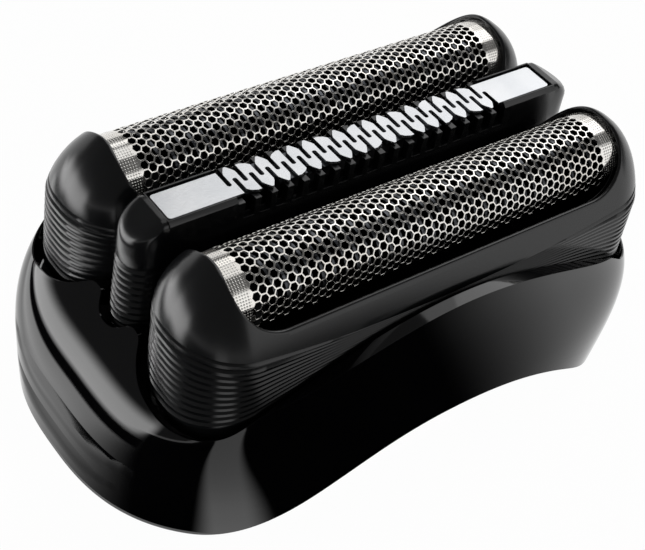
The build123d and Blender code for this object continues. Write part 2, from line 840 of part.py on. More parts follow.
# Trimmer slider: bar with a drive boss below and two pegs into the blade
slider_half_width = trimmer_cavity - slider_gap
with BuildPart() as trimmer_slider:
    add(
        block(
            -slider_length / 2,
            slider_length / 2,
            -slider_half_width,
            slider_half_width,
            slider_bottom,
            slider_top,
        )
    )
    add(
        block(
            -slider_boss_length / 2,
            slider_boss_length / 2,
            -slider_half_width,
            slider_half_width,
            floor_top + running_gap,
            slider_bottom,
        )
    )
    with BuildSketch(Plane.XY.offset(floor_top + running_gap)):
        Circle(trimmer_drive_bore)
    extrude(amount=trimmer_drive_depth, mode=Mode.SUBTRACT)
    with BuildSketch(Plane.XY.offset(slider_top)):
        with Locations((-slider_peg_x, 0), (slider_peg_x, 0)):
            Circle(slider_peg_radius)
    extrude(amount=leaf_space + trimmer_blade_thickness - 0.05)
save(trimmer_slider.part, "trimmer_slider")

# Trimmer pressure spring: bowed leaf between the slider and the blade
with BuildPart() as trimmer_pressure_spring:
    with BuildSketch(Plane.XZ):
        with BuildLine():
            leaf_end = leaf_length / 2
            under = ThreePointArc(
                (-leaf_end, slider_top + 0.01),
                (0, blade_bottom - leaf_thickness - 0.02),
                (leaf_end, slider_top + 0.01),
            )
            over = ThreePointArc(
                (-leaf_end, slider_top + leaf_thickness),
                (0, blade_bottom - 0.02),
                (leaf_end, slider_top + leaf_thickness),
            )
            Line(under @ 0, over @ 0)
            Line(under @ 1, over @ 1)
        make_face()
    extrude(amount=leaf_width / 2, both=True)
save(trimmer_pressure_spring.part, "trimmer_pressure_spring")
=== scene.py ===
# %% [markdown]
# # Foil head of an electric shaver
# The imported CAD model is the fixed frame: its nodes give every place and size in metres. The cells
# below dress it piece by piece. Flat inner mouldings keep their CAD mesh and only get a material.
# The pieces that carry the look are modelled again with bmesh in the same place.

# %% Load the frame
import json
import math

import bmesh
import bpy
import numpy
from mathutils import Matrix, Vector


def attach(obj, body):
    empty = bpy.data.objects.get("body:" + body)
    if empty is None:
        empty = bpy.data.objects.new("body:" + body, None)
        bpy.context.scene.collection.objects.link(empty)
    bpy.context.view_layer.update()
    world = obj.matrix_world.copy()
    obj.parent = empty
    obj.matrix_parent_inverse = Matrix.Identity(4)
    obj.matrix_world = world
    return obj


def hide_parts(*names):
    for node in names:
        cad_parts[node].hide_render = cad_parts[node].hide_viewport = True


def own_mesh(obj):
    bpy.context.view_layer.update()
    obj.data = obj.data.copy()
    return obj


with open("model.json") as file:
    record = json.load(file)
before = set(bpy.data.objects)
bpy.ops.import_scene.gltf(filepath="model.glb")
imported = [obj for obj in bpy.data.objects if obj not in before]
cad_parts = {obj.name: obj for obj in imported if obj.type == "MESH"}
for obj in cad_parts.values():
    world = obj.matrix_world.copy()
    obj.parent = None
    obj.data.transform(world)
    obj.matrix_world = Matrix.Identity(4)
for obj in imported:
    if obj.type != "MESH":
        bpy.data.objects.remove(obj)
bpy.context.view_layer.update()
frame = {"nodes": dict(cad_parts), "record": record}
MM = 0.001

# %% [markdown]
# ## Camera
# The photograph was taken from the front left and from above, with the camera turned a little about
# its own axis, so that the upright edges lean. Azimuth, elevation, turn and place were found by
# matching the ends of both foils, the trimmer and the casing to their places in the picture.

# %% Camera
IMAGE_WIDTH = 645
AZIMUTH = math.radians(-44.388)
ELEVATION = math.radians(43.091)
TURN = math.radians(11.828)
FOCAL_PIXELS = 1444.264
CAMERA_PLACE = Vector((-68.244, -68.224, 97.310)) * MM

back = Vector((
    math.sin(AZIMUTH) * math.cos(ELEVATION),
    -math.cos(AZIMUTH) * math.cos(ELEVATION),
    math.sin(ELEVATION),
))
level = Vector((0, 0, 1)).cross(back).normalized()
rise = back.cross(level)
right = math.cos(TURN) * level + math.sin(TURN) * rise
up = -math.sin(TURN) * level + math.cos(TURN) * rise

camera_data = bpy.data.cameras.new("photo_camera")
camera_data.sensor_fit = "HORIZONTAL"
camera_data.sensor_width = 36.0
camera_data.lens = FOCAL_PIXELS / IMAGE_WIDTH * camera_data.sensor_width
camera_data.clip_start = 0.005
camera = bpy.data.objects.new("photo_camera", camera_data)
bpy.context.scene.collection.objects.link(camera)
camera.matrix_world = Matrix.Translation(CAMERA_PLACE) @ Matrix((right, up, back)).transposed().to_4x4()
bpy.context.scene.camera = camera
bpy.context.scene.view_settings.view_transform = "Standard"
print("lens", round(camera_data.lens, 2), "mm")

# %% [markdown]
# ## Finishes
# No real surface has one even colour and gloss. A moulding carries the grain of its mould, and metal the
# lines of its tool. Pictures could show that, but they blur close up and need a layout. Here each finish
# is a Principled shader with two noises in object space: a slow one moves the colour towards a tint, a
# fine one moves the roughness and lifts a faint bump. Their sizes are given in millimetres.
# One function turns an sRGB hex value to linear, and one small function adds a node with its links.

# %% Material helpers


def linear(hex_text):
    """Linear colour from an sRGB hex value."""
    channels = [int(hex_text[place:place + 2], 16) / 255 for place in (1, 3, 5)]
    return tuple(c / 12.92 if c <= 0.04045 else ((c + 0.055) / 1.055) ** 2.4 for c in channels) + (1.0,)


def node(tree, kind, inputs=None, **settings):
    """Add one shader node; an input given as a socket is linked, any other value is set."""
    made = tree.nodes.new(kind)
    for name, value in settings.items():
        setattr(made, name, value)
    for name, value in (inputs or {}).items():
        if isinstance(value, bpy.types.NodeSocket):
            tree.links.new(value, made.inputs[name])
        else:
            made.inputs[name].default_value = value
    return made


def finish(name, colour, tint, roughness, metallic=0.0, grain_mm=0.3, stretch=(1, 1, 1), grain_spread=0.05,
           bump_mm=0.0, wave_mm=4.0, wave_bump_mm=0.0):
    """Principled finish: its colour drifts to a tint and its gloss wavers with a fine grain."""
    material = bpy.data.materials.new(name)
    material.use_nodes = True
    tree = material.node_tree
    tree.nodes.clear()
    place = node(tree, "ShaderNodeTexCoord")
    laid = node(tree, "ShaderNodeMapping", {"Vector": place.outputs["Object"], "Scale": stretch})
    grain = node(tree, "ShaderNodeTexNoise", {
        "Vector": laid.outputs["Vector"], "Scale": 1 / (grain_mm * MM), "Detail": 4.0,
    })
    wave = node(tree, "ShaderNodeTexNoise", {
        "Vector": place.outputs["Object"], "Scale": 1 / (wave_mm * MM), "Detail": 2.0,
    })
    drift = node(tree, "ShaderNodeMapRange", {
        "Value": wave.outputs["Fac"], "From Min": 0.3, "From Max": 0.7,
    })
    mixed = node(tree, "ShaderNodeMix", {
        "Factor": drift.outputs["Result"], "A": linear(colour), "B": linear(tint),
    }, data_type="RGBA")
    spread = node(tree, "ShaderNodeMapRange", {
        "Value": grain.outputs["Fac"], "From Min": 0.3, "From Max": 0.7,
        "To Min": max(roughness - grain_spread, 0.02), "To Max": roughness + grain_spread,
    })
    swell = node(tree, "ShaderNodeBump", {
        "Height": wave.outputs["Fac"], "Strength": 1.0, "Distance": wave_bump_mm * MM,
    })
    relief = node(tree, "ShaderNodeBump", {
        "Height": grain.outputs["Fac"], "Strength": 1.0, "Distance": bump_mm * MM,
        "Normal": swell.outputs["Normal"],
    })
    shader = node(tree, "ShaderNodeBsdfPrincipled", {
        "Base Color": mixed.outputs["Result"], "Metallic": metallic, "Roughness": spread.outputs["Result"],
        "Normal": relief.outputs["Normal"],
    })
    node(tree, "ShaderNodeOutputMaterial", {"Surface": shader.outputs["BSDF"]})
    return material


FINISHES = {
    # ABS from a polished mould: deep black, mirror-like, with a faint slow waviness in the reflections
    "gloss_black": finish("polished_abs", "#040405", "#060607", 0.05, grain_mm=0.5, grain_spread=0.01,
                          wave_mm=6.0, wave_bump_mm=0.0015),
    # ABS from a finely etched mould: black with a soft, even sheen
    "satin_black": finish("satin_abs", "#0e0f10", "#121314", 0.22, grain_mm=0.08, grain_spread=0.03,
                          bump_mm=0.0002),
    # Acetal, a slippery moulding plastic: dark grey and waxy
    "dark_plastic": finish("moulded_acetal", "#17181a", "#1f2022", 0.42, grain_mm=0.2, grain_spread=0.06,
                           bump_mm=0.0006),
    # Nickel grown in a plating bath: bright, a touch warm, with slightly uneven gloss
    "nickel_foil": finish("plated_nickel", "#eae8e4", "#dedad3", 0.1, metallic=1.0, grain_mm=0.15,
                          grain_spread=0.03),
    # Stamped and tumbled stainless steel: pale, with short fine lines along its length
    "comb_steel": finish("tumbled_steel", "#d2d3d5", "#c7c9cc", 0.24, metallic=1.0, grain_mm=0.6,
                         stretch=(1, 14, 14), grain_spread=0.04, bump_mm=0.0003),
    # Hardened steel, ground across: grey, with lines in the grinding direction
    "cutter_steel": finish("ground_steel", "#55575b", "#484a4d", 0.3, metallic=1.0, grain_mm=0.6,
                           stretch=(14, 1, 14), grain_spread=0.06, bump_mm=0.0004),
    # Cold drawn spring wire: mid grey with faint drawing lines
    "spring_steel": finish("drawn_wire", "#9a9c9f", "#8a8c90", 0.3, metallic=1.0, grain_mm=0.2,
                           grain_spread=0.05, bump_mm=0.0003),
}

# %% [markdown]
# The plain ends of a real foil are not quite plain: the plating leaves rows of tiny dimples there. They
# could be modelled, but there would be thousands. A bump in the nickel does it: it reads the flat
# sheet's own UV map, in millimetres, and sinks a dot in the middle of each cell. The real spacing is
# about 0.2 mm; it is drawn at 0.24 mm so that it shows.

# %% Dimples at the ends of the foil
DIMPLE_PITCH, DIMPLE_DEPTH, DIMPLES_FROM_X = 0.24, 0.04, 18.65
tree = FINISHES["nickel_foil"].node_tree
sheet_uv = node(tree, "ShaderNodeUVMap", uv_map="flat_sheet")
along = node(tree, "ShaderNodeSeparateXYZ", {"Vector": sheet_uv.outputs["UV"]})
distance = node(tree, "ShaderNodeMath", {0: along.outputs["X"]}, operation="ABSOLUTE")
at_end = node(tree, "ShaderNodeMath", {0: distance.outputs[0], 1: DIMPLES_FROM_X}, operation="GREATER_THAN")
cells = node(tree, "ShaderNodeVectorMath", {
    0: sheet_uv.outputs["UV"], 1: (1 / DIMPLE_PITCH, 1 / DIMPLE_PITCH, 0),
}, operation="MULTIPLY")
inside_cell = node(tree, "ShaderNodeVectorMath", {0: cells.outputs["Vector"]}, operation="FRACTION")
off_middle = node(tree, "ShaderNodeVectorMath", {
    0: inside_cell.outputs["Vector"], 1: (0.5, 0.5, 0),
}, operation="SUBTRACT")
reach = node(tree, "ShaderNodeVectorMath", {0: off_middle.outputs["Vector"]}, operation="LENGTH")
dip = node(tree, "ShaderNodeMapRange", {
    "Value": reach.outputs["Value"], "From Min": 0.12, "From Max": 0.36, "To Min": 1.0, "To Max": 0.0,
}, interpolation_type="SMOOTHSTEP")
sunk = node(tree, "ShaderNodeMath", {0: dip.outputs[0], 1: at_end.outputs[0]}, operation="MULTIPLY")
shader = next(each for each in tree.nodes if each.bl_idname == "ShaderNodeBsdfPrincipled")
dimpled = node(tree, "ShaderNodeBump", {
    "Height": sunk.outputs[0], "Strength": 1.0, "Distance": DIMPLE_DEPTH * MM,
    "Normal": shader.inputs["Normal"].links[0].from_socket,
}, invert=True)
tree.links.new(dimpled.outputs["Normal"], shader.inputs["Normal"])
print("dimples every", DIMPLE_PITCH, "mm beyond x", DIMPLES_FROM_X)

# %% Finishes on the CAD nodes
for entry in frame["record"]["subparts"]:
    mesh = frame["nodes"][entry["node"]].data
    mesh.materials.clear()
    mesh.materials.append(FINISHES[entry["material_slot"]])
print("finishes", sorted(FINISHES))

# %% [markdown]
# ## From a bmesh to a finished piece
# Each new piece is shaped in millimetres, as a moulder would read it from a drawing. One function
# brings it to metres, shades it smooth up to its sharp edges, lets it ride on its body and hides the
# CAD nodes it stands for. A live Bevel modifier gives moulded edges the small round that catches light.

# %% Settle a piece
SHARP_ANGLE = math.radians(28)


def settle(name, work, body, stands_for, slot, round_mm=0.0, round_angle=40, unit=MM):
    """Turn a bmesh into an object at the origin that rides on a body."""
    bmesh.ops.scale(work, vec=(unit, unit, unit), verts=work.verts)
    mesh = bpy.data.meshes.new(name)
    work.to_mesh(mesh)
    work.free()
    mesh.materials.append(FINISHES[slot])
    mesh.shade_smooth()
    mesh.set_sharp_from_angle(angle=SHARP_ANGLE)
    thing = bpy.data.objects.new(name, mesh)
    bpy.context.scene.collection.objects.link(thing)
    if round_mm:
        rounding = thing.modifiers.new("moulded_round", "BEVEL")
        rounding.width = round_mm * MM
        rounding.segments = 3
        rounding.limit_method = "ANGLE"
        rounding.angle_limit = math.radians(round_angle)
        rounding.harden_normals = True
    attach(thing, body)
    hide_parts(*stands_for)
    print(name, len(mesh.polygons), "faces on", body)
    return thing


def wrapped_sheet(columns, rows, place):
    """Grid rolled round into a ring: place gives each vertex from its column and row."""
    work = bmesh.new()
    bmesh.ops.create_grid(work, x_segments=columns, y_segments=rows, size=0.5)
    for vert in work.verts:
        column = round((vert.co.x + 0.5) * columns) % columns
        row = round((vert.co.y + 0.5) * rows)
        vert.co = place(column, row)
    bmesh.ops.remove_doubles(work, verts=work.verts, dist=0.002)
    bmesh.ops.recalc_face_normals(work, faces=work.faces)
    return work


def add_block(work, low, high):
    """Square block between two corners, in millimetres."""
    size = [top - bottom for bottom, top in zip(low, high)]
    middle = [(top + bottom) / 2 for bottom, top in zip(low, high)]
    bmesh.ops.create_cube(work, size=1.0, matrix=Matrix.Translation(middle) @ Matrix.Diagonal((*size, 1.0)))


def within(x, y, half_x, half_y, radius):
    """True inside a rounded rectangle round the origin."""
    over_x = max(abs(x) - half_x + radius, 0.0)
    over_y = max(abs(y) - half_y + radius, 0.0)
    return over_x * over_x + over_y * over_y < radius * radius


# %% [markdown]
# ## Casing
# The casing is one gloss black moulding: an oval tub that leans inwards, with an arch along both long
# sides, two shallow steps at each end and a mouth that is scooped out round the ends of the foil frames.
# It could be cut from a solid, but cut edges shade badly under a gloss finish. Here a grid is rolled
# round the oval, as a moulder's drawing would sweep a section. Each column runs from the arch up to the
# lip and down again inside, so the reflections run smoothly along it.

# %% Curves of the casing


def smooth_curve(places, values, level_ends):
    """Cubic curve through a few points, level or free at its two ends."""
    count = len(places)
    gaps = numpy.diff(places)
    slants = numpy.diff(values) / gaps
    system = numpy.eye(count)
    wanted = numpy.zeros(count)
    for k in range(1, count - 1):
        system[k, k - 1:k + 2] = (1 / gaps[k - 1], 2 / gaps[k - 1] + 2 / gaps[k], 1 / gaps[k])
        wanted[k] = 3 * (slants[k - 1] / gaps[k - 1] + slants[k] / gaps[k])
    if not level_ends:
        system[0, :2] = (2, 1)
        system[-1, -2:] = (1, 2)
        wanted[0] = 3 * slants[0]
        wanted[-1] = 3 * slants[-1]
    slopes = numpy.linalg.solve(system, wanted)

    def value(place):
        place = min(max(place, places[0]), places[-1])
        k = min(int(numpy.searchsorted(places, place, side="right")) - 1, count - 2)
        part = (place - places[k]) / gaps[k]
        start = (1 + 2 * part) * (1 - part) ** 2 * values[k] + part * (1 - part) ** 2 * gaps[k] * slopes[k]
        end = part * part * (3 - 2 * part) * values[k + 1]
        end -= part * part * (1 - part) * gaps[k] * slopes[k + 1]
        return start + end

    return value


section_heights = (0.0, 8.6, 11.5, 14.3, 19.0)
half_length_at = smooth_curve(
    (0.0, 1.85, 3.0, 6.05, 8.6, 11.5, 14.3, 19.0),
    (28.67, 28.64, 28.59, 28.36, 27.69, 26.0, 23.2, 19.0), False,
)
half_width_at = smooth_curve(section_heights, (19.0, 18.05, 17.24, 16.49, 15.74), False)
squareness_at = smooth_curve(section_heights, (2.6, 3.4, 3.9, 4.5, 5.0), False)
crest_at = smooth_curve((-29.0, -13.4, 0.0, 13.4, 29.0), (11.6, 15.9, 18.2, 15.9, 11.6), True)
arch_at = smooth_curve((-23.5, -13.4, 0.0, 13.4, 23.5), (0.0, 5.0, 8.0, 5.0, 0.0), True)
CASING_WALL = 1.3
BROW_Y = 13.29
REAR_DROP = 1.1
CROWN_HEIGHT, CROWN_FALL = 14.3, 1.7
END_X = 29.0
MOUTH_Y, MOUTH_HALF_LENGTH, MOUTH_HALF_WIDTH, MOUTH_ROUND = 8.42, 25.3, 6.32, 6.045
SLOT_HALF_LENGTH, SLOT_HALF_WIDTH, SLOT_ROUND = 24.4, 2.6, 2.4
THINNEST_WALL = 0.12
print("arch rises to", arch_at(0.0), "mm, crest to", crest_at(0.0), "mm")


def casing_point(turn, height, inset=0.0):
    """Place on the casing's oval at one height."""
    along, across, power = math.cos(turn), math.sin(turn), squareness_at(height)
    reach = (abs(along) ** power + abs(across) ** power) ** (-1 / power)
    return (half_length_at(height) - inset) * reach * along, (half_width_at(height) - inset) * reach * across


def in_mouth(x, y):
    """True where the mouth is scooped out for the frames and the trimmer."""
    return (
        within(x, abs(y) - MOUTH_Y, MOUTH_HALF_LENGTH, MOUTH_HALF_WIDTH, MOUTH_ROUND)
        or within(x, y, SLOT_HALF_LENGTH, SLOT_HALF_WIDTH, SLOT_ROUND)
    )


def open_above(turn, height):
    """True where the casing's wall has ended on its way up."""
    x, y = casing_point(turn, height)
    limit = CROWN_HEIGHT - CROWN_FALL * (y / BROW_Y) ** 2
    if abs(y) > BROW_Y:
        limit = crest_at(x) - (REAR_DROP * (1 - (x / END_X) ** 2) if y > 0 else 0.0)
    return height > limit or in_mouth(x, y)


def lip_height(turn):
    """Height of the casing's upper edge at one turn round the oval."""
    low, high = 9.0, 9.2
    while not open_above(turn, high):
        low, high = high, high + 0.2
    for _ in range(12):
        middle = (low + high) / 2
        low, high = (low, middle) if open_above(turn, middle) else (middle, high)
    return low


def foot_height(turn):
    """Height of the casing's lower edge, which the arch lifts along both long sides."""
    height = 0.0
    for _ in range(8):
        height = arch_at(casing_point(turn, height)[0])
    return height


def inner_inset(turn, height):
    """Wall thickness, thinner where the mouth cuts into the wall."""
    if height < 8.8 or not in_mouth(*casing_point(turn, height, CASING_WALL)):
        return CASING_WALL
    thin, thick = 0.0, CASING_WALL
    for _ in range(10):
        middle = (thin + thick) / 2
        thin, thick = (thin, middle) if in_mouth(*casing_point(turn, height, middle)) else (middle, thick)
    return max(thin, THINNEST_WALL)


# %% Casing shell
CASING_COLUMNS = 480
turns = [2 * math.pi * (column + 0.5) / CASING_COLUMNS for column in range(CASING_COLUMNS)]
lips = [lip_height(turn) for turn in turns]
for _ in range(3):
    lips = [(lips[k - 1] + 2 * lips[k] + lips[(k + 1) % CASING_COLUMNS]) / 4 for k in range(CASING_COLUMNS)]
feet = [foot_height(turn) for turn in turns]

# Levels below the waist are heights at the ends; a pair of equal heights makes a step
WAIST = 8.4
STEPS = ((6.4, 0.55, 1.7), (3.2, 0.55, 1.5))
below = [0.0, 0.6, 1.2, 1.7, 2.1, 2.6, 3.19, 3.2, 3.9, 4.7, 5.1, 5.7, 6.39, 6.4, 6.9, 7.4, 7.9, 8.4]
above = [k / 14 for k in range(1, 15)]
levels = [("below", height, 0) for height in below] + [("above", share, 0) for share in above]
levels += [("above", share, 1) for share in (1.0, 0.93, 0.8, 0.6, 0.4, 0.2, 0.05)]
levels += [("below", height, 1) for height in (8.4, 6.0, 3.0, 0.0)]
levels += [("below", 0.0, 0)]


def step_depth(height, x, y):
    """How far the end is set back under the edge of a step; the panel is turned to a large radius."""
    for edge, depth, drop in STEPS:
        if edge - drop < height < edge - 0.005:
            turned = half_length_at(height) - abs(x) - y * y / 120
            return max(depth * (height - edge + drop) / drop - turned, 0.0)
    return 0.0


def casing_place(column, row):
    kind, level, inside = levels[row]
    turn, lip, foot = turns[column], lips[column], feet[column]
    if kind == "below":
        height = foot + level * (WAIST - foot) / WAIST
    else:
        height = WAIST + level * (lip - WAIST)
    if inside:
        x, y = casing_point(turn, height, inner_inset(turn, height))
        return x, y, height
    x, y = casing_point(turn, height)
    if kind == "below" and foot < 0.01:
        x -= math.copysign(step_depth(level, x, y), x)
    return x, y, height


shell = wrapped_sheet(CASING_COLUMNS, len(levels) - 1, casing_place)
# A latch bar inside each end
LATCH_X, LATCH_HALF_WIDTH, LATCH_Z = (26.9, 27.5), 5.0, (2.6, 3.8)
for end in (-1, 1):
    near, far = sorted(end * x for x in LATCH_X)
    add_block(shell, (near, -LATCH_HALF_WIDTH, LATCH_Z[0]), (far, LATCH_HALF_WIDTH, LATCH_Z[1]))
settle("casing_shell", shell, "cassette", ["outer_casing"], "gloss_black", round_mm=0.14)

# %% [markdown]
# ## Foil frames
# A foil frame is a ribbed skirt, a plain flank and two domes that rise over the ends of the foil. The
# ribs wrap round the ends and close up towards the middle of the long side. The same rolled grid is
# used: its rows follow the ribs, and each column goes up over the dome until it meets the saddle that
# the foil lies in, where a small round rim rolls inwards and catches the light. Ribs could be cut as
# grooves, but a cut would break the smooth skin. A Solidify modifier gives the skin its wall, and the
# inner rails, bridges and hooked legs are blocks.

# %% Plan of a frame
LONG_STEPS, SHORT_STEPS, CORNER_STEPS = 110, 6, 18
FRAME_COLUMNS = 2 * (LONG_STEPS + SHORT_STEPS) + 4 * CORNER_STEPS
FOIL_AXIS_Y, FOIL_AXIS_Z = 7.74, 20.5


def frame_plan(column, half_length, inner_y, outer_y, radius):
    """Place round a rounded rectangle; a column keeps to the same side or corner at every size."""
    straight, low, high = half_length - radius, inner_y + radius, outer_y - radius
    runs = (
        (LONG_STEPS, lambda part: (straight * (2 * part - 1), outer_y)),
        (CORNER_STEPS, lambda part: (straight, high, 90 - 90 * part)),
        (SHORT_STEPS, lambda part: (half_length, high + (low - high) * part)),
        (CORNER_STEPS, lambda part: (straight, low, -90 * part)),
        (LONG_STEPS, lambda part: (straight * (1 - 2 * part), inner_y)),
        (CORNER_STEPS, lambda part: (-straight, low, -90 - 90 * part)),
        (SHORT_STEPS, lambda part: (-half_length, low + (high - low) * part)),
        (CORNER_STEPS, lambda part: (-straight, high, 180 - 90 * part)),
    )
    for steps, run in runs:
        if column < steps:
            found = run(column / steps)
            if len(found) == 2:
                return found
            angle = math.radians(found[2])
            return found[0] + radius * math.cos(angle), found[1] + radius * math.sin(angle)
        column -= steps


# %% Rows of a frame
SADDLE_X, SADDLE_Z, SADDLE_ROUND = 20.55, 20.0, 4.5
DOME_TOP, RIB_LINE, SKIRT_FOOT = 25.05, 18.0, 10.6
SKIRT_HALF_LENGTH, SKIRT_INNER_Y, SKIRT_OUTER_Y, SKIRT_ROUND = 24.2, 2.6, 14.29, 5.3
SKIRT_FLARE, SKIRT_LEAN = 0.1, 0.3
DOME_HALF_LENGTH, END_REACH, INNER_REACH, OUTER_REACH = 18.6, 5.7, 5.14, 6.25
FLANK_POWER, DOME_ROUND = 0.47, 0.92
END_FULLNESS = 1.9
RIM_ROUND, RIM_ROWS = 0.3, 4
RIBS = 11
MIDDLE_PITCH, END_PITCH = 0.17, 0.79
MIDDLE_TOP, END_TOP = 17.5, 18.95


def frame_wall(column, height, depth=0.0):
    """Place on the outside of a frame: an upright skirt, then one convex sweep over to the top."""
    if height < RIB_LINE:
        rise = (height - SKIRT_FOOT) / (RIB_LINE - SKIRT_FOOT)
        half_length = SKIRT_HALF_LENGTH + SKIRT_FLARE * rise - depth
        outer_y = SKIRT_OUTER_Y - SKIRT_LEAN * rise - depth
        return (*frame_plan(column, half_length, SKIRT_INNER_Y, outer_y, SKIRT_ROUND - depth), height)
    left = max(1 - (height - RIB_LINE) / (DOME_TOP - RIB_LINE), 0.0)
    end_share = (1 - (1 - left) ** END_FULLNESS) ** (1 / END_FULLNESS)
    half_length = DOME_HALF_LENGTH + END_REACH * end_share - depth
    inner_y = FOIL_AXIS_Y - INNER_REACH * end_share
    outer_y = FOIL_AXIS_Y + OUTER_REACH * left ** FLANK_POWER - depth
    radius = min(SKIRT_ROUND - depth, DOME_ROUND * (outer_y - inner_y) / 2)
    return (*frame_plan(column, half_length, inner_y, outer_y, max(radius, 0.005)), height)


def dome_place(column, share):
    """Place on the dome; rows come closer together towards the top, where it lies flatter."""
    return frame_wall(column, SADDLE_Z + (DOME_TOP - SADDLE_Z) * math.sin(math.pi / 2 * share))


def in_saddle(x, z):
    """True inside the rounded saddle that the foil lies in."""
    if z >= SADDLE_Z + SADDLE_ROUND:
        return abs(x) < SADDLE_X
    drop = SADDLE_Z + SADDLE_ROUND - z
    return abs(x) < SADDLE_X - SADDLE_ROUND + math.sqrt(max(SADDLE_ROUND ** 2 - drop ** 2, 0.0))


def saddle_share(column):
    """How far up the dome a column goes before the saddle ends it."""
    low, high = 0.0, 1.0
    if in_saddle(*dome_place(column, 0.0)[::2]):
        return 0.0
    for step in range(1, 61):
        if in_saddle(*dome_place(column, step / 60)[::2]):
            low, high = (step - 1) / 60, step / 60
            break
    for _ in range(12):
        middle = (low + high) / 2
        low, high = (low, middle) if in_saddle(*dome_place(column, middle)[::2]) else (middle, high)
    return low


def rib_spread(column):
    """From 0 in the middle of the long side to about 1 at the ends: how far the ribs stand apart."""
    return (frame_wall(column, 14.0)[0] / 25.2) ** 2


def rib_height(column, rib, part):
    """Height on one rib; part runs from 0 at its lower edge to 1 at the next rib."""
    spread = rib_spread(column)
    pitch = MIDDLE_PITCH + (END_PITCH - MIDDLE_PITCH) * spread
    return MIDDLE_TOP + (END_TOP - MIDDLE_TOP) * spread + (part - rib) * pitch


saddle_shares = [saddle_share(column) for column in range(FRAME_COLUMNS)]
RIB_SHAPE = ((-0.1, 0.24), (0.1, 0.24), (0.16, 0.0), (0.36, 0.0), (0.56, 0.01), (0.88, 0.22))
rib_rows = [(rib, part, depth) for rib in range(RIBS - 1, -1, -1) for part, depth in RIB_SHAPE]
FLANK_ROWS, DOME_ROWS = 8, 30
FRAME_ROWS = 2 + len(rib_rows) + FLANK_ROWS + DOME_ROWS + RIM_ROWS - 1
print("frame grid", FRAME_COLUMNS, "by", FRAME_ROWS)


def saddle_edge(column):
    """Where a column meets the saddle."""
    return Vector(dome_place(column % FRAME_COLUMNS, saddle_shares[column % FRAME_COLUMNS]))


def rim_place(column, turn):
    """Place on the round rim that rolls from the edge of the saddle in towards the foil."""
    edge, share = saddle_edge(column), saddle_shares[column]
    lower = dome_place(column, share - 0.05) if share > 0.06 else frame_wall(column, SADDLE_Z - 0.3)
    upward = (edge - Vector(lower)).normalized()
    outward = upward.cross(saddle_edge(column + 1) - saddle_edge(column - 1)).normalized()
    away = edge - Vector((max(min(edge.x, 15.0), -15.0), FOIL_AXIS_Y, SADDLE_Z - 3.0))
    if outward.dot(away) < 0:
        outward = -outward
    return edge + RIM_ROUND * (math.sin(turn) * upward - (1 - math.cos(turn)) * outward)


def frame_place(column, row):
    """Place of one vertex of a frame's skin, with y measured outwards."""
    if row < 2:
        return frame_wall(column, (SKIRT_FOOT, SKIRT_FOOT + 0.15)[row])
    row -= 2
    if row < len(rib_rows):
        rib, part, depth = rib_rows[row]
        outside = min(max((frame_wall(column, 14.0)[1] - 2.7) / 0.6, 0.0), 1.0)
        cut = depth * outside * (0.25 + 0.75 * rib_spread(column))
        return frame_wall(column, max(rib_height(column, rib, part), 10.8 + 0.001 * row), cut)
    row -= len(rib_rows)
    if row < FLANK_ROWS:
        start = rib_height(column, 0, 1.0)
        return frame_wall(column, start + (SADDLE_Z - start) * row / (FLANK_ROWS - 1))
    row -= FLANK_ROWS
    if row < DOME_ROWS:
        return dome_place(column, (row + 1) / DOME_ROWS * saddle_shares[column])
    return rim_place(column, math.pi / 2 * (row - DOME_ROWS + 1) / RIM_ROWS)


# %% Both frames
FRAME_WALL = 1.0
RAIL_Y, RAIL_HALF_LENGTH, RAIL_Z = ((3.5, 4.59), (10.89, 13.09)), 14.5, (10.9, 12.1)
BRIDGE_X, BRIDGE_HALF_LENGTH, BRIDGE_Y, BRIDGE_Z = 16.5, 1.7, (3.5, 13.09), (12.0, 13.2)
LEG_X, LEG_HALF_LENGTH, LEG_WALLS, LEG_Z = 13.0, 1.2, ((3.7, 1), (12.89, -1)), (6.3, 12.1)
HOOK_REACH, HOOK_TOP = 0.5, 7.05

for name, side in (("front", -1), ("rear", 1)):
    skin = wrapped_sheet(FRAME_COLUMNS, FRAME_ROWS, frame_place)
    bmesh.ops.scale(skin, vec=(1, side, 1), verts=skin.verts)
    bmesh.ops.recalc_face_normals(skin, faces=skin.faces)
    shell = settle(f"{name}_frame_shell", skin, f"{name}_unit", [f"{name}_foil_frame"], "satin_black")
    wall = shell.modifiers.new("moulded_wall", "SOLIDIFY")
    wall.thickness = FRAME_WALL * MM
    wall.offset = -1.0

    inside = bmesh.new()
    for near, far in RAIL_Y:
        add_block(inside, (-RAIL_HALF_LENGTH, near, RAIL_Z[0]), (RAIL_HALF_LENGTH, far, RAIL_Z[1]))
    for end in (-1, 1):
        low_x, high_x = end * BRIDGE_X - BRIDGE_HALF_LENGTH, end * BRIDGE_X + BRIDGE_HALF_LENGTH
        add_block(inside, (low_x, BRIDGE_Y[0], BRIDGE_Z[0]), (high_x, BRIDGE_Y[1], BRIDGE_Z[1]))
        low_x, high_x = end * LEG_X - LEG_HALF_LENGTH, end * LEG_X + LEG_HALF_LENGTH
        for wall_y, inward in LEG_WALLS:
            leg = sorted((wall_y, wall_y + inward))
            hook = sorted((wall_y, wall_y - HOOK_REACH * inward))
            add_block(inside, (low_x, leg[0], LEG_Z[0]), (high_x, leg[1], LEG_Z[1]))
            add_block(inside, (low_x, hook[0], LEG_Z[0]), (high_x, hook[1], HOOK_TOP))
    bmesh.ops.scale(inside, vec=(1, side, 1), verts=inside.verts)
    bmesh.ops.recalc_face_normals(inside, faces=inside.faces)
    settle(f"{name}_frame_legs", inside, f"{name}_unit", [f"{name}_foil_frame"], "satin_black", round_mm=0.1)

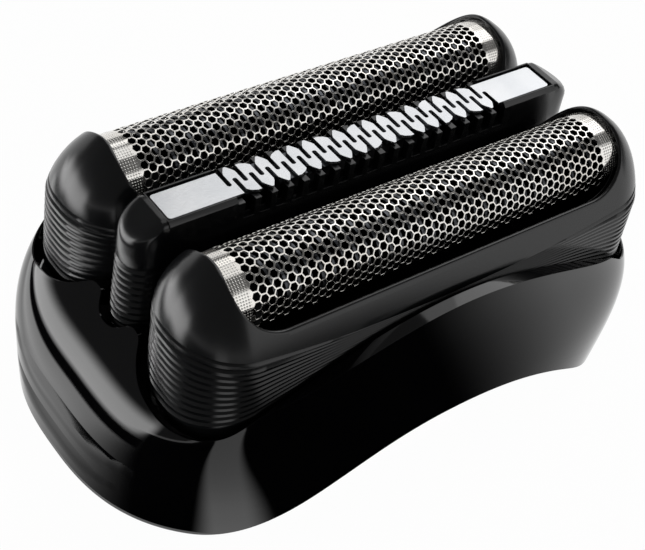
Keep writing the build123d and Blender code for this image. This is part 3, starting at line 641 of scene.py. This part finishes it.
# %% [markdown]
# ## Foils
# A shaver foil is a nickel sheet a few hundredths of a millimetre thick, grown by plating round a
# pattern, with a honeycomb of holes. A picture of holes would stay flat in the light, so the holes are
# real: hexagons are laid out flat, each is inset to leave its web, the middle is taken out and the whole
# sheet is bent to the arch. The plain ends have no holes.

# %% Flat honeycomb bent to an arch
FOIL_RADIUS = 3.6
CELL_ALONG, CELL_ROUND = 0.672, 0.776
CELL_RADIUS = CELL_ALONG / 1.5
WEB = 0.16
HOLES_TO_X, HOLES_TO_ROUND = 18.6, 5.9
FOIL_END, FOIL_ROWS, FOIL_WALL = 20.6, 11, 0.07
EDGE_STRIP, EDGE_DIP = 0.045, 0.02

for name, side in (("front", -1), ("rear", 1)):
    sheet = bmesh.new()
    quarter_turn = Matrix.Rotation(math.pi / 2, 4, "Z")
    columns = math.ceil(FOIL_END / CELL_ALONG)
    for column in range(-columns, columns + 1):
        for row in range(-FOIL_ROWS, FOIL_ROWS + 1):
            across = (row + 0.5 * (column % 2)) * CELL_ROUND
            bmesh.ops.create_circle(
                sheet, cap_ends=True, segments=6, radius=CELL_RADIUS,
                matrix=Matrix.Translation((column * CELL_ALONG, across, 0)) @ quarter_turn,
            )
    bmesh.ops.remove_doubles(sheet, verts=sheet.verts, dist=0.02)
    middles = [(face, face.calc_center_median()) for face in sheet.faces]
    holed = [face for face, middle in middles
             if abs(middle.x) < HOLES_TO_X and abs(middle.y) < HOLES_TO_ROUND]
    bmesh.ops.inset_individual(sheet, faces=holed, thickness=EDGE_STRIP, use_even_offset=True)
    bmesh.ops.inset_individual(
        sheet, faces=holed, thickness=WEB / 2 - EDGE_STRIP, depth=-EDGE_DIP, use_even_offset=True,
    )
    bmesh.ops.delete(sheet, geom=holed, context="FACES_ONLY")
    for end in (-1, 1):
        bmesh.ops.bisect_plane(
            sheet, geom=sheet.verts[:] + sheet.edges[:] + sheet.faces[:],
            plane_co=(end * FOIL_END, 0, 0), plane_no=(end, 0, 0), clear_outer=True,
        )
    flat = sheet.loops.layers.uv.new("flat_sheet")
    for face in sheet.faces:
        for loop in face.loops:
            loop[flat].uv = loop.vert.co.x, loop.vert.co.y
    quarter = FOIL_RADIUS * math.pi / 2
    for vert in sheet.verts:
        along, across, lift = vert.co
        angle = max(min(across, quarter), -quarter) / FOIL_RADIUS
        radius = FOIL_RADIUS + lift
        vert.co = (
            along,
            side * FOIL_AXIS_Y + radius * math.sin(angle),
            FOIL_AXIS_Z + radius * math.cos(angle) - max(abs(across) - quarter, 0.0),
        )
    bmesh.ops.recalc_face_normals(sheet, faces=sheet.faces)
    foil = settle(f"{name}_foil_sheet", sheet, f"{name}_unit", [f"{name}_foil"], "nickel_foil")
    wall = foil.modifiers.new("plated_wall", "SOLIDIFY")
    wall.thickness = FOIL_WALL * MM
    wall.offset = -1.0

# %% [markdown]
# ## Trimmer
# The middle of the trimmer's body and its stamped comb are already exact in the frame, but their edges
# are knife sharp, as no stamping or moulding is. A merged copy of each mesh gets its flat faces joined
# again and a small bevel on every edge; the comb's teeth are rounded first. The two ends of the body
# are round, ribbed and sloped on top, and show long soft highlights, so they are rolled from a grid
# like the frames.

# %% Trimmer with soft edges
TRIMMER_CUT, TUCK = 20.4, 0.3
TOOTH_ROUND = 0.3
for name, node_name, slot, round_mm in (
    ("trimmer_body", "trimmer_housing", "satin_black", 0.17),
    ("trimmer_comb", "trimmer_comb_plate", "comb_steel", 0.04),
):
    copy = bmesh.new()
    copy.from_mesh(frame["nodes"][node_name].data)
    bmesh.ops.remove_doubles(copy, verts=copy.verts, dist=2e-6)
    for end in (-1, 1):
        bmesh.ops.bisect_plane(
            copy, geom=copy.verts[:] + copy.edges[:] + copy.faces[:],
            plane_co=(end * TRIMMER_CUT * MM, 0, 0), plane_no=(end, 0, 0), clear_outer=True,
        )
    bmesh.ops.dissolve_limit(copy, angle_limit=math.radians(1.5), verts=copy.verts, edges=copy.edges)
    if name == "trimmer_comb":
        spans = [(edge, edge.verts[0].co - edge.verts[1].co) for edge in copy.edges]
        upright_edges = [edge for edge, span in spans if abs(span.z) > 1e-4 and span.to_2d().length < 1e-5]
        bmesh.ops.bevel(
            copy, geom=upright_edges, offset=TOOTH_ROUND * MM, segments=4, profile=0.5,
            affect="EDGES", clamp_overlap=True, material=-1,
        )
    settle(name, copy, "trimmer_unit", [node_name], slot, round_mm=round_mm, round_angle=30, unit=1.0)

# %% Round ends of the trimmer
END_COLUMNS, END_ROUND, TRIMMER_HALF_WIDTH = 56, 0.8, 2.2
CAP_HALF_LENGTH, CAP_FLARE, CAP_FLARE_FROM = 23.3, 0.3, 22.0
CAP_TOP, CAP_SLOPE, CAP_SLOPE_FROM = 23.75, 1.75 / 3.0, 20.9
CAP_WALL = 0.6
CAP_RIBS, CAP_PITCH, CAP_RIBS_TOP = 11, 0.7, 18.6
CAP_RIB_SHAPE = ((-0.12, 0.18), (0.12, 0.18), (0.18, 0.0), (0.5, 0.0), (0.86, 0.16))
end_heights = [10.6, 10.9]
end_depths = [0.0, 0.0]
for rib in range(CAP_RIBS - 1, -1, -1):
    for part, depth in CAP_RIB_SHAPE:
        end_heights.append(CAP_RIBS_TOP - CAP_PITCH * rib + CAP_PITCH * part)
        end_depths.append(depth)
end_heights += [19.6, 20.6, 21.4]
end_depths += [0.0, 0.0, 0.0]
ROUND_ROWS, TOP_ROWS = 5, 4
END_ROWS = len(end_heights) + ROUND_ROWS + TOP_ROWS


def trimmer_end_place(column, row):
    """Place on the right end: up the ribbed wall, over the edge and in to the middle of the sloped top."""
    inset, lift, squeeze = 0.0, None, 1.0
    if row < len(end_heights):
        inset, lift = end_depths[row], end_heights[row]
    elif row < len(end_heights) + ROUND_ROWS:
        turn = math.pi / 2 * (row - len(end_heights)) / (ROUND_ROWS - 1)
        inset, drop = END_ROUND * (1 - math.cos(turn)), END_ROUND * (1 - math.sin(turn))
    else:
        inset, drop = END_ROUND, 0.0
        squeeze = 1 - (row - len(end_heights) - ROUND_ROWS + 1) / TOP_ROWS
    half_width = TRIMMER_HALF_WIDTH - inset
    height_for_length = lift if lift is not None else CAP_FLARE_FROM
    below_top = max(CAP_FLARE_FROM - height_for_length, 0.0) / (CAP_FLARE_FROM - end_heights[0])
    half_length = CAP_HALF_LENGTH + CAP_FLARE * below_top - inset
    straight = half_length - half_width
    run = straight - TRIMMER_CUT
    length = 2 * run + math.pi * half_width
    gone = length * min(max(column - 1, 0), END_COLUMNS - 2) / (END_COLUMNS - 2)
    if gone < run:
        x, y = TRIMMER_CUT + gone, half_width
    elif gone > length - run:
        x, y = TRIMMER_CUT + length - gone, -half_width
    else:
        angle = math.pi / 2 - (gone - run) / half_width
        x, y = straight + half_width * math.cos(angle), half_width * math.sin(angle)
    top = CAP_TOP - CAP_SLOPE * max(x - CAP_SLOPE_FROM, 0.0)
    z = min(lift, top - END_ROUND) if lift is not None else top - drop
    # The first and last columns are tucked inside the body, so that no gap shows
    if column in (0, END_COLUMNS):
        x, y, z = x - TUCK, y * 0.9, z - (0.5 if lift is None else 0.0)
    return x, y * squeeze, z


for name, end in (("left", -1), ("right", 1)):
    cap = bmesh.new()
    bmesh.ops.create_grid(cap, x_segments=END_COLUMNS, y_segments=END_ROWS - 1, size=0.5)
    for vert in cap.verts:
        column, row = round((vert.co.x + 0.5) * END_COLUMNS), round((vert.co.y + 0.5) * (END_ROWS - 1))
        x, y, z = trimmer_end_place(column, row)
        vert.co = end * x, y, z
    bmesh.ops.remove_doubles(cap, verts=cap.verts, dist=0.002)
    bmesh.ops.recalc_face_normals(cap, faces=cap.faces)
    outward = max(cap.faces, key=lambda face: end * face.calc_center_median().x)
    if outward.normal.x * end < 0:
        bmesh.ops.reverse_faces(cap, faces=cap.faces)
    rounded = settle(f"trimmer_{name}_end", cap, "trimmer_unit", ["trimmer_housing"], "satin_black")
    wall = rounded.modifiers.new("moulded_wall", "SOLIDIFY")
    wall.thickness = CAP_WALL * MM
    wall.offset = -1.0

# %% [markdown]
# ## Springs
# The coil springs of the real head are wound from drawn wire. One end stands still and the coil shortens
# when a unit is pressed down. A rigid copy would poke through, and a bent curve could not follow the
# joint. Here each coil is still a merged, rigid copy of its CAD mesh that rides on the cassette or on its
# drive body.

# %% Springs as rigid copies
for name in ("front", "rear", "trimmer"):
    for hand in ("left", "right"):
        node_name = f"{name}_{hand}_spring"
        copy = bmesh.new()
        copy.from_mesh(frame["nodes"][node_name].data)
        bmesh.ops.remove_doubles(copy, verts=copy.verts, dist=2e-6)
        coil = settle(f"{name}_{hand}_coil", copy, "cassette", [node_name], "spring_steel", unit=1.0)
        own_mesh(coil)
for name in ("front", "rear"):
    node_name = f"{name}_cutter_spring"
    copy = bmesh.new()
    copy.from_mesh(frame["nodes"][node_name].data)
    bmesh.ops.remove_doubles(copy, verts=copy.verts, dist=2e-6)
    coil = settle(f"{name}_cutter_coil", copy, f"{name}_drive_body", [node_name], "spring_steel", unit=1.0)
    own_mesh(coil)

# %% [markdown]
# ## Studio
# Polished black plastic shows the room more than itself. So the room is set up as a product
# photographer would: a white floor, a large lamp low on the left for the domes and the shoulder, one
# behind on the right for the steel, one overhead for the foils, and black cards on the floor
# where the casing must mirror black. A single bright room could light it too, but then every curve
# would mirror the same grey. The cards fade at their edges and are seen in reflections only.

# %% Floor
FLOOR_Z, FLOOR_HALF, FLOOR_WHITE = -0.03, 1500, 0.98


def flat_sheet(name, corners):
    """Flat staged sheet through a few corners, in millimetres."""
    mesh = bpy.data.meshes.new(name)
    sheet = bmesh.new()
    sheet.faces.new([sheet.verts.new([part * MM for part in corner]) for corner in corners])
    sheet.to_mesh(mesh)
    sheet.free()
    thing = bpy.data.objects.new(name, mesh)
    bpy.context.scene.collection.objects.link(thing)
    return thing


floor_corners = ((-1, -1), (1, -1), (1, 1), (-1, 1))
floor = flat_sheet("floor", [(FLOOR_HALF * x, FLOOR_HALF * y, FLOOR_Z) for x, y in floor_corners])
floor_paint = bpy.data.materials.new("pale_floor")
floor_paint.use_nodes = True
tree = floor_paint.node_tree
tree.nodes.clear()
path = node(tree, "ShaderNodeLightPath")
seen = node(tree, "ShaderNodeMath", {
    0: path.outputs["Is Camera Ray"], 1: path.outputs["Is Glossy Ray"],
}, operation="ADD")
seen = node(tree, "ShaderNodeMath", {
    0: seen.outputs[0], 1: path.outputs["Is Transmission Ray"],
}, operation="ADD", use_clamp=True)
share = node(tree, "ShaderNodeMath", {0: seen.outputs[0], 1: FLOOR_WHITE}, operation="MULTIPLY")
matt = node(tree, "ShaderNodeBsdfDiffuse", {"Color": linear("#f2f2f2")})
white = node(tree, "ShaderNodeEmission", {"Color": (1, 1, 1, 1), "Strength": 1.0})
mixed = node(tree, "ShaderNodeMixShader", {
    0: share.outputs[0], 1: matt.outputs["BSDF"], 2: white.outputs["Emission"],
})
node(tree, "ShaderNodeOutputMaterial", {"Surface": mixed.outputs["Shader"]})
floor.data.materials.append(floor_paint)
print("floor at", FLOOR_Z, "mm")

# %% Cards


def card(name, corners, fades, glow=None):
    """Staged sheet, black or lit; each fade is a direction, where it clears and where it covers, in mm."""
    sheet = flat_sheet(name, corners)
    paint = bpy.data.materials.new(f"{name}_paper")
    paint.use_nodes = True
    tree = paint.node_tree
    tree.nodes.clear()
    place = node(tree, "ShaderNodeTexCoord")
    cover = None
    for direction, clear_at, covers_at in fades:
        along = node(
            tree, "ShaderNodeVectorMath", {0: place.outputs["Object"], 1: direction}, operation="DOT_PRODUCT"
        )
        fade = node(tree, "ShaderNodeMapRange", {
            "Value": along.outputs["Value"], "From Min": clear_at * MM, "From Max": covers_at * MM,
        }, interpolation_type="SMOOTHSTEP")
        if cover is None:
            cover = fade.outputs[0]
        else:
            both = node(tree, "ShaderNodeMath", {0: cover, 1: fade.outputs[0]}, operation="MULTIPLY")
            cover = both.outputs[0]
    clear = node(tree, "ShaderNodeBsdfTransparent")
    if glow is None:
        face = node(tree, "ShaderNodeBsdfDiffuse", {"Color": linear("#050505")}).outputs[0]
    else:
        face = node(tree, "ShaderNodeEmission", {"Color": (1, 1, 1, 1), "Strength": glow}).outputs[0]
    mixed = node(tree, "ShaderNodeMixShader", {0: cover, 1: clear.outputs[0], 2: face})
    node(tree, "ShaderNodeOutputMaterial", {"Surface": mixed.outputs["Shader"]})
    sheet.data.materials.append(paint)
    sheet.visible_camera = False
    sheet.visible_shadow = False
    sheet.visible_diffuse = glow is not None


def upright(azimuth, distance, low, high, half_width):
    """Corners of an upright sheet that faces the object, with the direction along it and its middle."""
    turn = math.radians(azimuth)
    along = Vector((-math.sin(turn), math.cos(turn), 0))
    middle = Vector((math.cos(turn), math.sin(turn), 0)) * distance
    ends = middle - along * half_width, middle + along * half_width
    corners = [(end.x, end.y, height) for end, height in zip((*ends, *ends[::-1]), (low, low, high, high))]
    return corners, along, middle.dot(along)


card(
    "front_card", ((-20, -8, 0.3), (-110, -240, 0.3), (160, -240, 0.3), (60, -8, 0.3)),
    (((0.92, -0.39, 0), -11.8, -8.6), ((1, 0.6, 0), 15, -10)),
)
card(
    "corner_card", ((-15, 14, 0.4), (-260, 14, 0.4), (-260, -220, 0.4), (-15, -220, 0.4)),
    (((0, 1, 0), 4, -10), ((0.77, -0.64, 0), -7.2, -9.5)),
)
card(
    "left_card", ((-43, 70, 0.3), (-70, 70, 0.3), (-70, -8, 0.3), (-43, -8, 0.3)),
    (((1, 0, 0), -44.5, -48), ((1, 0, 0), -70, -62)),
)
card(
    "near_floor_glow", ((-31, 60, 0.2), (-47, 60, 0.2), (-47, -8, 0.2), (-31, -8, 0.2)),
    (((1, 0, 0), -31, -36), ((1, 0, 0), -47, -44), ((0, 1, 0), -8, 12)), 2.2,
)
card(
    "far_floor_glow", ((-60, 220, 0.2), (-290, 220, 0.2), (-290, -20, 0.2), (-60, -20, 0.2)),
    (((1, 0, 0), -62, -95), ((0, 1, 0), -18, 20)), 5.0,
)
corners, along, middle = upright(158, 225, 0, 92, 220)
card(
    "left_box", corners,
    (((0, 0, 1), 72, 24), (along, middle + 120, middle + 80), (along, middle - 215, middle - 120)), 5.0,
)
corners, along, middle = upright(-55, 310, 0, 300, 160)
card(
    "front_box", corners,
    (((0, 0, 1), 295, 200), (along, middle + 155, middle + 110), (along, middle - 155, middle - 110)), 1.1,
)
print("cards laid")

# %% Room and lamps
world = bpy.data.worlds.new("studio")
bpy.context.scene.world = world
world.use_nodes = True
tree = world.node_tree
tree.nodes.clear()
path = node(tree, "ShaderNodeLightPath")
place = node(tree, "ShaderNodeTexCoord")
parts = node(tree, "ShaderNodeSeparateXYZ", {"Vector": place.outputs["Generated"]})
low = node(tree, "ShaderNodeMapRange", {
    "Value": parts.outputs["Z"], "From Min": 0.33, "From Max": 0.46, "To Min": 1.0, "To Max": 0.0,
}, interpolation_type="SMOOTHSTEP")
facing = node(
    tree, "ShaderNodeVectorMath", {0: place.outputs["Generated"], 1: (0.45, 0.89, 0.0)},
    operation="DOT_PRODUCT",
)
behind = node(tree, "ShaderNodeMapRange", {
    "Value": facing.outputs["Value"], "From Min": 0.35, "From Max": 0.7,
}, interpolation_type="SMOOTHSTEP")
wall = node(tree, "ShaderNodeMath", {0: low.outputs[0], 1: behind.outputs[0]}, operation="MULTIPLY")
glow = node(tree, "ShaderNodeMapRange", {"Value": wall.outputs[0], "To Min": 0.12, "To Max": 0.95})
room = node(tree, "ShaderNodeBackground", {"Color": (1, 1, 1, 1), "Strength": glow.outputs[0]})
white = node(tree, "ShaderNodeBackground", {"Color": (1, 1, 1, 1), "Strength": 1.0})
mixed = node(tree, "ShaderNodeMixShader", {
    0: path.outputs["Is Camera Ray"], 1: room.outputs[0], 2: white.outputs[0],
})
node(tree, "ShaderNodeOutputWorld", {"Surface": mixed.outputs["Shader"]})


def softbox(name, place_mm, aim_mm, size_mm, watts):
    """Rectangular studio lamp that faces a point."""
    lamp = bpy.data.lights.new(name, "AREA")
    lamp.shape = "RECTANGLE"
    lamp.size = size_mm[0] * MM
    lamp.size_y = size_mm[1] * MM
    lamp.energy = watts
    holder = bpy.data.objects.new(name, lamp)
    bpy.context.scene.collection.objects.link(holder)
    place = Vector(place_mm) * MM
    facing = (Vector(aim_mm) * MM - place).to_track_quat("-Z", "Y")
    holder.matrix_world = Matrix.Translation(place) @ facing.to_matrix().to_4x4()
    print(name, watts, "W")


softbox("back_box", (206, 112, 208), (0, 0, 20), (270, 180), 0.18)
softbox("top_box", (165, 52, 286), (0, 0, 20), (160, 360), 0.15)
